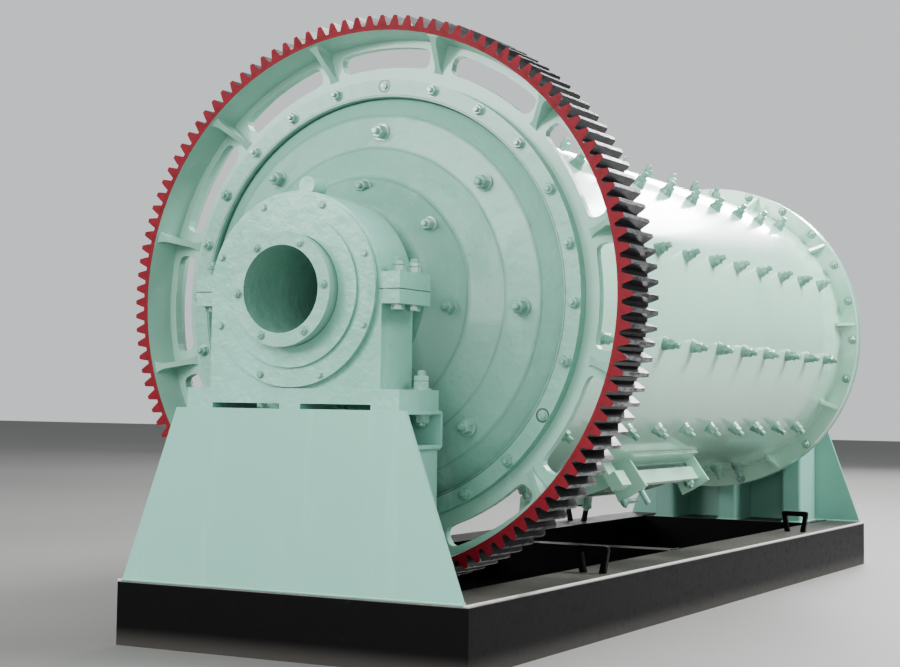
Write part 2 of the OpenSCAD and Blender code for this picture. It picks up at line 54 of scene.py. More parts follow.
shellLow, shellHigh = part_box("drum_shell")
axisHeight = (shellLow.z + shellHigh.z) / 2
shellRadius = (shellHigh.z - shellLow.z) / 2
flangeRadius = (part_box("front_head")[1].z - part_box("front_head")[0].z) / 2
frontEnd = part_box("left_rail")[0].x
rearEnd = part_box("left_rail")[1].x
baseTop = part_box("left_rail")[1].z
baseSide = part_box("left_rail")[1].y
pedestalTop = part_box("front_channel")[1].z
gearLow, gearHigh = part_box("girth_gear")
gearTip = (gearHigh.z - gearLow.z) / 2
hatchLow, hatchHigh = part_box("hatch_cover")
hatchX = (hatchLow.x + hatchHigh.x) / 2
ends = {
    "front": {"side": -1, "face": frontEnd, "tube": "feed_tube"},
    "rear": {"side": 1, "face": rearEnd, "tube": "discharge_tube"},
}


def onDrum(radius, angle, x):  # a point round the drum: the angle starts at -Y and rises towards +Z
    turn = math.radians(angle)
    return Vector((x, -radius * math.cos(turn), axisHeight + radius * math.sin(turn)))


def radial(angle):
    return onDrum(1.0, angle, 0.0) - Vector((0, 0, axisHeight))


def around(row):  # the angles of a row that goes all the way round
    return [row["first"] + index * 360 / row["count"] for index in range(row["count"])]


def turnBetween(first, second):
    return abs((first - second + 180) % 360 - 180)


def srgb(red, green, blue):  # a colour read off a screen, 0 to 255, as Blender wants it
    def lift(value):
        value = value / 255
        return value / 12.92 if value <= 0.04045 else ((value + 0.055) / 1.055) ** 2.4

    return (lift(red), lift(green), lift(blue), 1.0)


# Sums of sockets, for shaders and Geometry Nodes alike


class Wire:
    def __init__(self, graph, made, output):
        self.graph = graph
        self.made = made
        self.socket = made.outputs[output] if len(made.outputs) else None

    def out(self, output):
        return Wire(self.graph, self.made, output)

    def math(self, operation, *values):
        return self.graph.node("ShaderNodeMath", {"operation": operation}, list(values))

    def __add__(self, other):
        return self.math("ADD", self, other)

    def __radd__(self, other):
        return self.math("ADD", other, self)

    def __sub__(self, other):
        return self.math("SUBTRACT", self, other)

    def __rsub__(self, other):
        return self.math("SUBTRACT", other, self)

    def __mul__(self, other):
        return self.math("MULTIPLY", self, other)

    def __rmul__(self, other):
        return self.math("MULTIPLY", other, self)

    def __neg__(self):
        return self.math("MULTIPLY", self, -1.0)

    def root(self):
        return self.math("SQRT", self)

    def clamp(self):
        return self.graph.node("ShaderNodeClamp", {}, [self, 0.0, 1.0])

    def least(self, other):
        return self.math("MINIMUM", self, other)

    def most(self, other):
        return self.math("MAXIMUM", self, other)

    def far(self, other=0.0):  # how far it is from another value
        return self.math("ABSOLUTE", self - other)

    def step(self, low, high):  # 0 below low, 1 above high, smooth between; falling if high is less
        settings = {"interpolation_type": "SMOOTHSTEP", "clamp": True}
        if low < high:
            return self.graph.node("ShaderNodeMapRange", settings, [self, low, high, 0.0, 1.0])
        return self.graph.node("ShaderNodeMapRange", settings, [self, high, low, 1.0, 0.0])


class Graph:
    def __init__(self, tree):
        self.tree = tree

    def node(self, kind, settings=None, sockets=None):
        made = self.tree.nodes.new(kind)
        for name, value in (settings or {}).items():
            setattr(made, name, value)
        pairs = enumerate(sockets) if isinstance(sockets, list) else (sockets or {}).items()
        for key, value in pairs:
            if isinstance(value, Wire):
                self.tree.links.new(value.socket, made.inputs[key])
            else:
                made.inputs[key].default_value = value
        return Wire(self, made, 0)

    def mix(self, mask, first, second):  # two colours
        made = self.node("ShaderNodeMix", {"data_type": "RGBA"}, {0: mask, 6: first, 7: second})
        return made.out(2)

    def noise(self, place, scale, detail=3.0, rough=0.55, stretch=None):
        if stretch:
            place = self.node("ShaderNodeVectorMath", {"operation": "MULTIPLY"}, [place, stretch])
        made = self.node("ShaderNodeTexNoise", {}, {
            "Vector": place, "Scale": scale, "Detail": detail, "Roughness": rough})
        return made.out("Fac")

    def vector(self, x, y, z):
        return self.node("ShaderNodeCombineXYZ", {}, [x, y, z])

    def split(self, vector):
        parts = self.node("ShaderNodeSeparateXYZ", {}, [vector])
        return parts.out("X"), parts.out("Y"), parts.out("Z")

    def join(self, parts):  # meshes
        joined = self.node("GeometryNodeJoinGeometry")
        for part in parts:
            self.tree.links.new(part.socket, joined.made.inputs[0])
        return joined


def startMaterial(name):
    material = bpy.data.materials.new(name)
    material.use_nodes = True
    material.node_tree.nodes.clear()
    graph = Graph(material.node_tree)
    return material, graph, graph.node("ShaderNodeTexCoord").out("Object")


def endMaterial(graph, colour, rough, height=None, bump=1.0, metal=0.0, coat=0.0, coatRough=0.12,
                specular=0.5):
    sockets = {"Base Color": colour, "Roughness": rough, "Metallic": metal, "Coat Weight": coat,
               "Coat Roughness": coatRough, "Specular IOR Level": specular}
    if height is not None:
        sockets["Normal"] = graph.node("ShaderNodeBump", {}, {
            "Height": height, "Strength": bump, "Distance": 0.001})
    shader = graph.node("ShaderNodeBsdfPrincipled", {}, sockets)
    graph.node("ShaderNodeOutputMaterial", {}, [shader])


def drumPlace(graph, place):  # along the drum's axis, beside it, above it, and the distance from it
    x, y, z = graph.split(place)
    up = z - axisHeight
    return x, y, up, (y * y + up * up).root()


# Camera: its place and lens were worked out from the circles and edges of the mill

view = {
    "place": (-6.0876, -2.6578, 0.7219),
    "yaw": 28.664,
    "pitch": 3.820,
    "roll": 0.782,
    "focalPixels": 1758.23,
    "centre": (420.17, 281.67),  # pixel on the lens's axis
    "picture": (900, 667),
    "sensor": 36,
    "clipEnd": 200,
}


def placeCamera():
    yaw = math.radians(view["yaw"])
    pitch = math.radians(view["pitch"])
    roll = math.radians(view["roll"])
    ahead = Vector((math.cos(yaw) * math.cos(pitch), math.sin(yaw) * math.cos(pitch), math.sin(pitch)))
    level = Vector((math.sin(yaw), -math.cos(yaw), 0))
    above = level.cross(ahead)
    right = math.cos(roll) * level + math.sin(roll) * above
    up = math.cos(roll) * above - math.sin(roll) * level
    turn = Matrix((right, up, -ahead)).transposed().to_4x4()
    width, height = view["picture"]
    data = bpy.data.cameras.new("camera")
    data.sensor_width = view["sensor"]
    data.lens = view["focalPixels"] / width * view["sensor"]
    data.shift_x = (width / 2 - view["centre"][0]) / width
    data.shift_y = (view["centre"][1] - height / 2) / width
    data.clip_end = view["clipEnd"]
    camera = bpy.data.objects.new("camera", data)
    camera.matrix_world = Matrix.Translation(view["place"]) @ turn
    bpy.context.scene.collection.objects.link(camera)
    bpy.context.scene.camera = camera


placeCamera()
print("camera placed")

# Finishes: patch, lumps, fine, grain, waves and peel are scales of noise, in spots to a metre, and heights
# are in millimetres

paint = {
    "mint": srgb(128, 186, 170),
    "mintDeep": srgb(108, 168, 148),
    "mintPale": srgb(176, 214, 204),
    "grime": srgb(58, 70, 62),
    "shade": srgb(18, 27, 23),
}
castLook = {
    "colour": paint["mint"], "second": paint["mintDeep"],
    "patch": 2.2, "lumps": 19.0, "fine": 55.0, "grain": 420.0, "streak": 9.0, "stretch": (1.0, 1.0, 0.25),
    "streaks": 0.25, "dirt": 0.18,
    "lumpHeight": 5.0, "fineHeight": 1.0, "grainHeight": 0.16, "bump": 0.9,
    "rough": 0.31, "coat": 0.6, "coatRough": 0.13,
}
plateLook = {
    "colour": paint["mint"], "second": srgb(121, 180, 163),
    "patch": 1.3, "lumps": 3.5, "fine": 60.0, "grain": 420.0, "streak": 9.0, "stretch": (1.0, 1.0, 0.12),
    "streaks": 0.18, "dirt": 0.05,
    "lumpHeight": 1.6, "fineHeight": 0.12, "grainHeight": 0.10, "bump": 0.35,
    "rough": 0.34, "coat": 0.3, "coatRough": 0.22,
}
headLook = dict(castLook, colour=srgb(120, 174, 156), second=srgb(108, 162, 144), patch=1.6, lumps=13.0,
                lumpHeight=7.0, rough=0.40, coat=0.25)


def paintedCasting(name, look, form=None):  # form gives one casting's painted shade and its own relief
    material, graph, place = startMaterial(name)
    broad = graph.noise(place, look["patch"], 4.0)
    fine = graph.noise(place, look["fine"], 3.0, 0.6)
    grain = graph.noise(place, look["grain"], 2.0)
    lumps = graph.noise(place, look["lumps"], 3.0)
    streak = graph.noise(place, look["streak"], 4.0, 0.6, look["stretch"])
    colour = graph.mix(broad.step(0.3, 0.7), look["colour"], look["second"])
    colour = graph.mix(streak.step(0.56, 0.75) * look["streaks"], colour, paint["mintPale"])
    colour = graph.mix(fine.step(0.60, 0.78) * look["dirt"], colour, paint["grime"])
    height = lumps * look["lumpHeight"] + fine * look["fineHeight"] + grain * look["grainHeight"]
    rough = look["rough"] + 0.12 * (broad - 0.5) + 0.1 * fine.step(0.55, 0.75)
    if form:
        # the form's painted shade takes the shade colour
        paintedShade, relief = form(graph, place)
        colour = graph.mix(paintedShade, colour, paint["shade"])
        height = height + relief
    endMaterial(graph, colour, rough, height, look["bump"], coat=look["coat"], coatRough=look["coatRough"])
    return material


headRelief = {
    "ridges": (0.556, 0.456, 0.362),  # where the moulder's rings meet on the cone
    "ridgeHalf": 0.006, "ridgeHeight": 3.4, "ridgeShade": 0.17, "wobble": 0.010,
    "grooves": (0.614, 0.622), "grooveShade": 0.62,  # foot and lip of the recessed face
    "sunkRadius": 0.650, "sunkAngles": (88.5, -31.5),  # two bolts in counterbores
    "sunkRing": 0.0185, "sunkShade": 0.9,
    "bore": 0.1215, "boreShade": 0.16,
}


def headForm(graph, place):
    _, y, up, radius = drumPlace(graph, place)
    uneven = radius + (graph.noise(place, 7.0, 2.0) - 0.5) * headRelief["wobble"]
    half = headRelief["ridgeHalf"]
    relief = 0.0
    for ridge in headRelief["ridges"]:
        relief = relief + (uneven - ridge).step(half, -half) * headRelief["ridgeHeight"]
    foot, lip = headRelief["grooves"]
    # painted shade in the recessed face's foot and lip, beside each ridge, round the two counterbores and
    # inside the bore
    paintedShade = radius.far(foot).least(radius.far(lip)).step(0.0032, 0.001) * headRelief["grooveShade"]
    for ridge in headRelief["ridges"]:
        paintedShade = paintedShade.most(uneven.far(ridge - 0.004).step(0.0045, 0.0015) * headRelief["ridgeShade"])
    for angle in headRelief["sunkAngles"]:
        spot = onDrum(headRelief["sunkRadius"], angle, 0.0)
        aside = y - spot.y
        above = up - (spot.z - axisHeight)
        away = (aside * aside + above * above).root()
        paintedShade = paintedShade.most(away.far(headRelief["sunkRing"]).step(0.0034, 0.0022) * headRelief["sunkShade"])
    paintedShade = paintedShade * radius.step(flangeRadius - 0.0005, flangeRadius - 0.002)  # the outer wall stays clean
    inside = radius.step(headRelief["bore"] + 0.002, headRelief["bore"] - 0.0005)
    return paintedShade.most(inside * headRelief["boreShade"]), relief


splitLook = {"width": 0.0014, "from": 0.272, "shade": 0.85, "depth": 2.0}  # between a bearing's cap and base


def bearingForm(graph, place):
    _, _, up, radius = drumPlace(graph, place)
    # painted shade along the split between the cap and the base
    line = up.far().step(splitLook["width"] * 1.6, splitLook["width"] * 0.5)
    split = line * radius.step(splitLook["from"], splitLook["from"] + 0.001)
    return split * splitLook["shade"], -(split * splitLook["depth"])


castPaint = paintedCasting("castPaint", castLook, bearingForm)
platePaint = paintedCasting("platePaint", plateLook)
headPaint = paintedCasting("headPaint", headLook, headForm)

hatch = {
    "angle": -76.2, "plateRadius": 0.657, "studAngle": 17.7, "studX": 0.25, "longStud": 0.110,
    "strapStart": -0.388, "strapEnd": -0.250, "strapAngle": -61.5, "strapRadius": 0.732,
    "strapWidth": 0.026, "strapThickness": 0.012, "strapBevel": 0.0018,
}
drumLook = {
    "colour": srgb(182, 232, 210), "second": srgb(170, 220, 197), "edge": paint["mintPale"],
    "patch": 1.1, "waves": 3.2, "peel": 260.0, "specks": 38.0,
    "waveHeight": 3.0, "peelHeight": 0.07, "seamHeight": 1.2, "bump": 0.35,
    "seamEvery": 1.49, "seamWidth": 0.006,  # weld between the shell's two plates
    "dirt": 0.18, "edgeWear": 0.8,
    "gapAngle": 17.86, "gapLow": 0.618, "gapHigh": 0.6455, "gapHalf": 0.320, "gapShade": 0.9,
    "rough": 0.2, "coat": 0.6, "coatRough": 0.08,
}


def hatchGap(x, y, up, radius):  # painted shade on the side walls of the hatch's neck, under the cover
    middle = radial(hatch["angle"])
    across = radial(hatch["angle"] + 90)
    outward = y * middle.y + up * middle.z
    sideways = (y * across.y + up * across.z).far()
    beside = sideways - outward * math.tan(math.radians(drumLook["gapAngle"]))
    half = drumLook["gapHalf"]
    low = drumLook["gapLow"]
    high = drumLook["gapHigh"]
    gap = beside.far().step(0.006, 0.003) * x.far(hatchX).step(half + 0.002, half - 0.002)
    return gap * radius.step(low - 0.004, low + 0.006) * radius.step(high + 0.001, high - 0.001)


def makeDrumPaint():
    material, graph, place = startMaterial("drumPaint")
    x, y, up, radius = drumPlace(graph, place)
    broad = graph.noise(place, drumLook["patch"], 3.0)
    waves = graph.noise(place, drumLook["waves"], 2.0, 0.5, (0.6, 1.0, 1.0))
    peel = graph.noise(place, drumLook["peel"], 2.0)
    specks = graph.noise(place, drumLook["specks"], 4.0, 0.7)
    seam = x.far(shellLow.x + drumLook["seamEvery"]).step(drumLook["seamWidth"], 0.0)
    rim = radius.far(flangeRadius).step(0.004, 0.0) * graph.noise(place, 14.0, 3.0).step(0.35, 0.6)
    colour = graph.mix(broad.step(0.3, 0.7), drumLook["colour"], drumLook["second"])
    colour = graph.mix(specks.step(0.66, 0.8) * drumLook["dirt"], colour, paint["grime"])
    colour = graph.mix(rim * drumLook["edgeWear"], colour, drumLook["edge"])
    # painted shade in the recess of the hatch's neck
    colour = graph.mix(hatchGap(x, y, up, radius) * drumLook["gapShade"], colour, paint["shade"])
    height = waves * drumLook["waveHeight"] + peel * drumLook["peelHeight"] + seam * drumLook["seamHeight"]
    rough = drumLook["rough"] + 0.12 * specks.step(0.5, 0.8)
    endMaterial(graph, colour, rough, height, drumLook["bump"], coat=drumLook["coat"],
                coatRough=drumLook["coatRough"])
    return material


drumPaint = makeDrumPaint()

gearLook = {
    "rootDepth": 0.0335,  # tip to root
    "rimDepth": 0.050,  # tip to the inner edge of the red
    "redEdge": 0.0016,
    "red": srgb(112, 0, 22), "redDeep": srgb(94, 0, 11), "redDust": srgb(200, 96, 104), "dust": 0.22,
    "green": srgb(142, 188, 172), "greenDeep": srgb(128, 174, 157),
    "steel": srgb(36, 36, 40), "scuffed": srgb(76, 74, 76), "worn": srgb(140, 140, 146),
    # near-white bare metal by the teeth's front, which is also a painted highlight
    "bareAndHighlight": srgb(205, 200, 198),
    "lumpHeight": 2.2, "scuffHeight": 0.25, "grainHeight": 0.12, "bump": 0.6,
    "rough": 0.32, "redRough": 0.28, "metal": 0.75, "coat": 0.35, "coatRough": 0.15, "specular": 0.22,
}


def makeGearFinish():
    material, graph, place = startMaterial("gearFinish")
    x, _, _, radius = drumPlace(graph, place)
    root = gearTip - gearLook["rootDepth"]
    rim = gearTip - gearLook["rimDepth"]
    faceNoise = graph.noise(place, 30.0, 4.0)
    scuff = graph.noise(place, 90.0, 4.0, 0.7, (0.25, 1.0, 1.0))
    broad = graph.noise(place, 2.5, 3.0)
    lumps = graph.noise(place, 18.0, 3.0)
    redDust = graph.noise(place, 240.0, 3.0).step(0.66, 0.76)
    onFace = x.far(gearLow.x).least(x.far(gearHigh.x)).step(gearLook["redEdge"], 0.0004)
    teeth = radius.step(root - 0.002, root - 0.0005)
    flanks = teeth * (1.0 - onFace)
    painted = onFace * radius.step(rim - 0.0015, rim)
    green = graph.mix(broad.step(0.3, 0.7), gearLook["green"], gearLook["greenDeep"])
    green = graph.mix(lumps.step(0.6, 0.8) * 0.3, green, paint["mintPale"])
    red = graph.mix(faceNoise.step(0.4, 0.75), gearLook["red"], gearLook["redDeep"])
    red = graph.mix(redDust * gearLook["dust"], red, gearLook["redDust"])
    steel = graph.mix(scuff.step(0.45, 0.7) * 0.6, gearLook["steel"], gearLook["scuffed"])
    worn = (radius.step(gearTip - 0.0018, gearTip - 0.0008) * scuff.step(0.38, 0.6)).clamp()
    steel = graph.mix(worn * 0.85, steel, gearLook["worn"])
    # bare spots near the teeth's front edge, which are also a painted highlight
    frontBareAndHighlight = x.far(gearLow.x).step(0.014, 0.002) * faceNoise.step(0.58, 0.66) * teeth
    steel = graph.mix(frontBareAndHighlight * 0.7, steel, gearLook["bareAndHighlight"])
    colour = graph.mix(painted, graph.mix(teeth, green, steel), red)
    rough = gearLook["rough"] + flanks * (0.14 - 0.18 * worn) + 0.1 * faceNoise.step(0.5, 0.8)
    height = lumps * gearLook["lumpHeight"] * (1.0 - teeth) + scuff * gearLook["scuffHeight"]
    height = height + graph.noise(place, 300.0, 2.0) * gearLook["grainHeight"]
    metal = (flanks * gearLook["metal"]).clamp()
    coat = gearLook["coat"] - gearLook["coat"] * painted
    endMaterial(graph, colour, rough + painted * gearLook["redRough"], height, gearLook["bump"], metal, coat,
                gearLook["coatRough"], gearLook["specular"])
    return material


gearFinish = makeGearFinish()

baseLook = {
    "black": srgb(8, 8, 9), "dust": srgb(134, 130, 124), "stain": srgb(60, 56, 54),
    # bare steel on the scraped edges, light enough to be a painted highlight as well
    "bareAndHighlight": srgb(224, 221, 216),
    "topDust": 0.33, "footDust": 0.16, "footHeight": 0.06, "stains": 0.2,
    "edgeReach": 0.010, "edgeWear": 0.9,
    "lumpHeight": 2.0, "fineHeight": 0.3, "grainHeight": 0.08, "bump": 0.4,
    "rough": 0.38, "specular": 0.06,
}


def makeBasePaint():
    material, graph, place = startMaterial("basePaint")
    x, y, z = graph.split(place)
    upward = graph.split(graph.node("ShaderNodeTexCoord").out("Normal"))[2].step(0.5, 0.9)
    broad = graph.noise(place, 2.0, 5.0)
    fine = graph.noise(place, 46.0, 5.0, 0.65)
    scrape = graph.noise(place, 7.0, 5.0, 0.7, (0.2, 1.0, 1.0))
    footDust = z.step(baseLook["footHeight"], 0.0) * baseLook["footDust"]
    dust = (upward * (0.35 + 0.5 * broad.step(0.35, 0.65)) * baseLook["topDust"] + footDust).clamp()
    fromTop = z.far(baseTop)
    # the rails' top edges: scraped to bare steel, with a painted highlight laid along them as well
    sideEdge = fromTop.most(y.far().far(baseSide)).step(baseLook["edgeReach"], 0.0015)
    endEdge = fromTop.most(x.far().far(rearEnd)).step(baseLook["edgeReach"], 0.001)
    wornEdgeAndHighlight = (sideEdge.most(endEdge) * scrape.step(0.22, 0.46)).clamp()
    colour = graph.mix(dust, baseLook["black"], baseLook["dust"])
    colour = graph.mix(fine.step(0.64, 0.78) * baseLook["stains"], colour, baseLook["stain"])
    colour = graph.mix(wornEdgeAndHighlight * baseLook["edgeWear"], colour, baseLook["bareAndHighlight"])
    height = broad * baseLook["lumpHeight"] + fine * baseLook["fineHeight"]
    height = height + graph.noise(place, 300.0, 2.0) * baseLook["grainHeight"]
    rough = baseLook["rough"] + dust * 0.4 + 0.12 * fine.step(0.5, 0.75)
    endMaterial(graph, colour, rough, height, baseLook["bump"], specular=baseLook["specular"])
    return material


basePaint = makeBasePaint()

bronzeLook = {"colour": srgb(168, 132, 84), "second": srgb(130, 100, 66), "rough": 0.3, "turning": 60.0}
linerLook = {"colour": srgb(96, 88, 80), "second": srgb(70, 60, 52), "rough": 0.5, "turning": 8.0}


def bareMetal(name, look):
    material, graph, place = startMaterial(name)
    turning = graph.noise(place, look["turning"], 3.0, 0.6, (12.0, 1.0, 1.0))
    stain = graph.noise(place, 14.0, 4.0)
    colour = graph.mix(stain.step(0.4, 0.7), look["colour"], look["second"])
    endMaterial(graph, colour, look["rough"] + 0.2 * stain.step(0.45, 0.75), turning * 0.3, 0.4, metal=0.9)
    return material


bushBronze = bareMetal("bushBronze", bronzeLook)
linerSteel = bareMetal("linerSteel", linerLook)

boltLook = {
    "colour": srgb(132, 184, 166), "second": srgb(96, 148, 130), "patch": 12.0, "chip": 130.0, "chips": 0.55,
    "bump": 0.7, "rough": 0.34, "coat": 0.9, "coatRough": 0.07,
}


def makeBoltPaint():
    material, graph, place = startMaterial("boltPaint")
    broad = graph.noise(place, boltLook["patch"], 4.0)
    chips = graph.noise(place, boltLook["chip"], 4.0, 0.7)
    colour = graph.mix(broad.step(0.35, 0.65), boltLook["colour"], boltLook["second"])
    colour = graph.mix(chips.step(0.60, 0.70) * boltLook["chips"], colour, paint["grime"])
    rough = boltLook["rough"] + 0.2 * chips.step(0.5, 0.7)
    endMaterial(graph, colour, rough, chips * 0.8 + broad, boltLook["bump"], coat=boltLook["coat"],
                coatRough=boltLook["coatRough"])
    return material


boltPaint = makeBoltPaint()

nodePaint = {
    "base_paint": basePaint, "pedestal_paint": platePaint, "bearing_paint": castPaint,
    "bush_bronze": bushBronze, "drum_paint": drumPaint, "head_paint": headPaint,
    "gear_steel": gearFinish, "liner_steel": linerSteel,
}


def dressFrame():
    for part in frame["record"]["subparts"]:
        mesh = nodes[part["node"]].data
        mesh.materials.clear()
        mesh.materials.append(nodePaint[part["material_slot"]])


dressFrame()
print("frame painted")

# Fasteners: points with an outward direction, and one tree that puts a fastener of the given sizes on each

fastenerForm = {
    "washerSides": 20, "nutSides": 6, "studSides": 14,
    "sunk": 0.02,  # share of the washer's height that stands in the surface
    "crown": 0.2, "crownRadius": 0.86,  # a nut's tapered top, in its height and its radius
    "between": 1.03,  # the second nut's start, in heights of the first
    "tip": 0.3, "tipRadius": 0.75,  # a stud's chamfer, in its radius
}


def socketOf(tree, name):
    for item in tree.interface.items_tree:
        if item.name == name:
            return item.identifier


def startTree(name, sizes):  # a Geometry Nodes tree that takes sizes, a seed and a finish
    tree = bpy.data.node_groups.new(name, "GeometryNodeTree")
    tree.interface.new_socket("Geometry", in_out="INPUT", socket_type="NodeSocketGeometry")
    for size in sizes:
        tree.interface.new_socket(size, in_out="INPUT", socket_type="NodeSocketFloat")
    tree.interface.new_socket("Seed", in_out="INPUT", socket_type="NodeSocketInt")
    tree.interface.new_socket("Finish", in_out="INPUT", socket_type="NodeSocketMaterial")
    tree.interface.new_socket("Geometry", in_out="OUTPUT", socket_type="NodeSocketGeometry")
    graph = Graph(tree)
    return tree, graph, graph.node("NodeGroupInput")


def endTree(graph, shape, given):
    solid = graph.node("GeometryNodeRealizeInstances", {}, [shape])
    finished = graph.node("GeometryNodeSetMaterial", {}, {
        "Geometry": solid, "Material": given.out("Finish")})
    graph.node("NodeGroupOutput", {}, [finished])


def fastenerTree():
    tree, graph, given = startTree("fasteners", [
        "Base Radius", "Base Top Radius", "Base Height", "Nut Radius", "Nut Height", "Second Nut Height",
        "Stud Radius", "Stud Length"])
    form = fastenerForm

    def pillar(start, height, low, high, sides):
        cone = graph.node("GeometryNodeMeshCone", {}, {
            "Vertices": sides, "Radius Top": high, "Radius Bottom": low, "Depth": height})
        return graph.node("GeometryNodeTransform", {}, {
            "Geometry": cone, "Translation": graph.vector(0.0, 0.0, start)})

    def nut(start, height):
        radius = given.out("Nut Radius")
        straight = height * (1 - form["crown"])
        shaft = pillar(start, straight, radius, radius, form["nutSides"])
        crown = pillar(start + straight, height * form["crown"], radius, radius * form["crownRadius"],
                       form["nutSides"])
        return [shaft, crown]

    base = given.out("Base Height")
    first = given.out("Nut Height")
    second = given.out("Second Nut Height")
    stud = given.out("Stud Radius")
    tip = stud * form["tip"]
    tipStart = given.out("Stud Length") - tip
    washer = pillar(base * -form["sunk"], base * (1 + form["sunk"]), given.out("Base Radius"),
                    given.out("Base Top Radius"), form["washerSides"])
    upper = graph.join(nut(base + first * form["between"], second.most(0.001)))
    shown = second.math("GREATER_THAN", second, 0.0)
    parts = [washer] + nut(base, first)
    parts.append(graph.node("GeometryNodeSwitch", {"input_type": "GEOMETRY"}, {
        "Switch": shown, "True": upper}))
    parts.append(pillar(0.0, tipStart, stud, stud, form["studSides"]))
    parts.append(pillar(tipStart, tip, stud, stud * form["tipRadius"], form["studSides"]))
    outward = graph.node("GeometryNodeInputNamedAttribute", {"data_type": "FLOAT_VECTOR"}, {
        "Name": "outward"})
    lean = graph.node("FunctionNodeAlignRotationToVector", {"axis": "Z"}, {"Vector": outward})
    placed = graph.node("GeometryNodeInstanceOnPoints", {}, {
        "Points": given, "Instance": graph.join(parts), "Rotation": lean})
    spin = graph.node("FunctionNodeRandomValue", {"data_type": "FLOAT"}, {
        "Min": 0.0, "Max": math.tau, "Seed": given.out("Seed")})
    turned = graph.node("GeometryNodeRotateInstances", {}, {
        "Instances": placed, "Rotation": graph.vector(0.0, 0.0, spin.out(1)), "Local Space": True})
    endTree(graph, turned, given)
    return tree


boltTree = fastenerTree()


def pointCloud(name, points):  # points are (place, outward) pairs
    mesh = bpy.data.meshes.new(name)
    mesh.from_pydata([place for place, outward in points], [], [])
    attribute = mesh.attributes.new("outward", "FLOAT_VECTOR", "POINT")
    for item, (place, outward) in zip(attribute.data, points):
        item.vector = outward
    cloud = bpy.data.objects.new(name, mesh)
    bpy.context.scene.collection.objects.link(cloud)
    return cloud


def realize(source, tree, inputs):  # a tree's result as a plain mesh, with its faces outwards
    modifier = source.modifiers.new("build", "NODES")
    modifier.node_group = tree
    for name, value in inputs.items():
        modifier[socketOf(tree, name)] = value
    bpy.context.view_layer.update()
    evaluated = source.evaluated_get(bpy.context.evaluated_depsgraph_get())
    mesh = bpy.data.meshes.new_from_object(evaluated)
    name = source.name
    bpy.data.objects.remove(source)
    mesh.name = name
    work = bmesh.new()
    work.from_mesh(mesh)
    bmesh.ops.recalc_face_normals(work, faces=work.faces)
    work.to_mesh(mesh)
    work.free()
    made = bpy.data.objects.new(name, mesh)
    bpy.context.scene.collection.objects.link(made)
    return made


def fasten(name, points, body, sizes, seed):
    made = realize(pointCloud(name, points), boltTree, {
        "Base Radius": sizes["base"][0], "Base Top Radius": sizes["base"][1],
        "Base Height": sizes["base"][2], "Nut Radius": sizes["nut"],
        "Nut Height": sizes["heights"][0], "Second Nut Height": sizes["heights"][1],
        "Stud Radius": sizes["stud"], "Stud Length": sizes["length"], "Seed": seed, "Finish": boltPaint})
    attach(made, body)
    return made


def surface(node):
    mesh = nodes[node].data
    corners = [vertex.co for vertex in mesh.vertices]
    faces = [tuple(face.vertices) for face in mesh.polygons]
    return BVHTree.FromPolygons(corners, faces)


# The base is a washer or a cone, with a lower radius, an upper radius and a height, and there are up to two
# nuts on it
fastenerSizes = {
    "flange": {
        "base": (0.019, 0.019, 0.003), "nut": 0.0165, "heights": (0.014, 0.0), "stud": 0.0085,
        "length": 0.028,
    },
    "sunk": {
        "base": (0.0125, 0.0125, 0.002), "nut": 0.0115, "heights": (0.006, 0.0), "stud": 0.006,
        "length": 0.010,
    },
    "cone": {
        "base": (0.027, 0.027, 0.005), "nut": 0.0205, "heights": (0.017, 0.012), "stud": 0.0105,
        "length": 0.052,
    },
    "inner": {
        "base": (0.023, 0.023, 0.004), "nut": 0.0175, "heights": (0.015, 0.010), "stud": 0.009,
        "length": 0.044,
    },
    "gland": {
        "base": (0.0115, 0.0115, 0.002), "nut": 0.0098, "heights": (0.0072, 0.0), "stud": 0.0045,
        "length": 0.0062,
    },
    "tube": {
        "base": (0.0135, 0.0135, 0.0022), "nut": 0.0115, "heights": (0.0085, 0.0), "stud": 0.006,
        "length": 0.016,
    },
    "liner": {
        "base": (0.0250, 0.0200, 0.018), "nut": 0.0185, "heights": (0.019, 0.0), "stud": 0.0105,
        "length": 0.056,
    },
    "ear": {
        "base": (0.022, 0.022, 0.004), "nut": 0.019, "heights": (0.016, 0.011), "stud": 0.0105,
        "length": 0.042,
    },
    "foot": {
        "base": (0.028, 0.028, 0.005), "nut": 0.023, "heights": (0.020, 0.014), "stud": 0.0125,
        "length": 0.055,
    },
    "hatch": {
        "base": (0.017, 0.017, 0.040), "nut": 0.019, "heights": (0.016, 0.0), "stud": 0.010,
        "length": 0.065,
    },
}

# Rows round each end, with the angle of the first fastener and the node that carries the row, which is the
# tube where none is given
endRows = {
    "flange": {"count": 24, "radius": 0.650, "first": -1.5, "on": "_head", "name": "_head_bolts"},
    "cone": {"count": 8, "radius": 0.503, "first": -3.5, "on": "_head", "name": "_cone_studs"},
    "inner": {"count": 8, "radius": 0.328, "first": -6.0, "on": "_head", "name": "_inner_studs"},
    "gland": {"count": 8, "radius": 0.254, "first": 22.5, "on": "_seal_cover", "name": "_seal_bolts"},
    "tube": {"count": 6, "radius": 0.140, "first": 4.5, "name": "_tube_bolts"},
}
gussets = {"count": 11, "first": 4.5}
rowClearance = 3.4  # degrees between a flange bolt and what takes its place
beyondEnds = 4  # metres from the middle, outside the mill


def ring(tree, side, radius, angles):  # fasteners along X, on the surface found at each angle
    points = []
    for angle in angles:
        start = onDrum(radius, angle, side * beyondEnds)
        points.append((tree.ray_cast(start, Vector((-side, 0, 0)))[0], (side, 0, 0)))
    return points


def clearOf(angles, taken):
    return [angle for angle in angles if all(turnBetween(angle, other) >= rowClearance for other in taken)]


